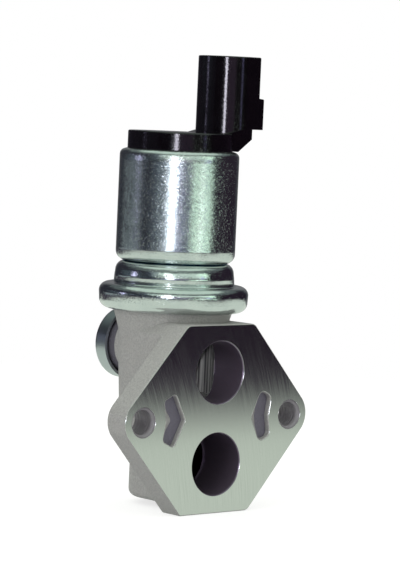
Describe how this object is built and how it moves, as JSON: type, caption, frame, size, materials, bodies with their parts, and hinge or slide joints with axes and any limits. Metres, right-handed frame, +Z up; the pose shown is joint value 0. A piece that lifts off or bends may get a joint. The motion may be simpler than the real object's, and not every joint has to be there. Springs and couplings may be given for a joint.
{
  "type": "idle air control valve",
  "caption": "Solenoid idle air valve: cast aluminium body with two-port flange, steel can, black plug connector and a sprung poppet inside.",
  "frame": {"origin": "centre of the mounting flange's milled face, between its two bolt holes", "axes": "+X along the bolt holes towards the connector, +Y from the flange's face into the valve, +Z up along the solenoid's axis"},
  "size_m": [0.0724, 0.0465, 0.1365],
  "materials": {
    "cast_aluminium": "blasted die casting, milled flange face",
    "zinc_steel": "bright zinc plating on drawn sheet",
    "soft_iron": "turned",
    "stainless": "ground",
    "black_plastic": "moulded, glossy",
    "bobbin_plastic": "moulded",
    "copper": "enamelled wire",
    "bronze": "turned",
    "tinned_brass": "tin plated, stamped",
    "rubber": "moulded"
  },
  "bodies": {
    "housing": {"valve_body": "cast_aluminium", "seat_ring": "stainless", "rear_cap": "zinc_steel", "cap_gasket": "rubber", "mounting_cup": "zinc_steel", "guide_plate": "zinc_steel", "stem_bush": "bronze", "body_seal": "rubber", "solenoid_can": "zinc_steel", "lower_flux_washer": "soft_iron", "upper_flux_washer": "soft_iron", "coil_bobbin": "bobbin_plastic", "coil_winding": "copper", "guide_tube": "bronze", "pole_core": "soft_iron", "pole_shim": "bronze", "preload_screw": "bronze", "connector_cover": "black_plastic", "cover_seal": "rubber", "terminal_left": "tinned_brass", "terminal_right": "tinned_brass", "return_spring": "stainless"},
    "plunger": {"armature": "soft_iron", "valve_stem": "stainless", "poppet": "cast_aluminium", "poppet_seal": "rubber", "poppet_clip": "stainless"}
  },
  "joints": [
    {"name": "valve_stroke", "type": "slide", "parent": "housing", "child": "plunger", "axis": [0, 0, 1], "range_m": [0, 0.004], "stiffness_N_per_m": 800, "springref_m": -0.003, "deforming": ["return_spring"]}
  ]
}
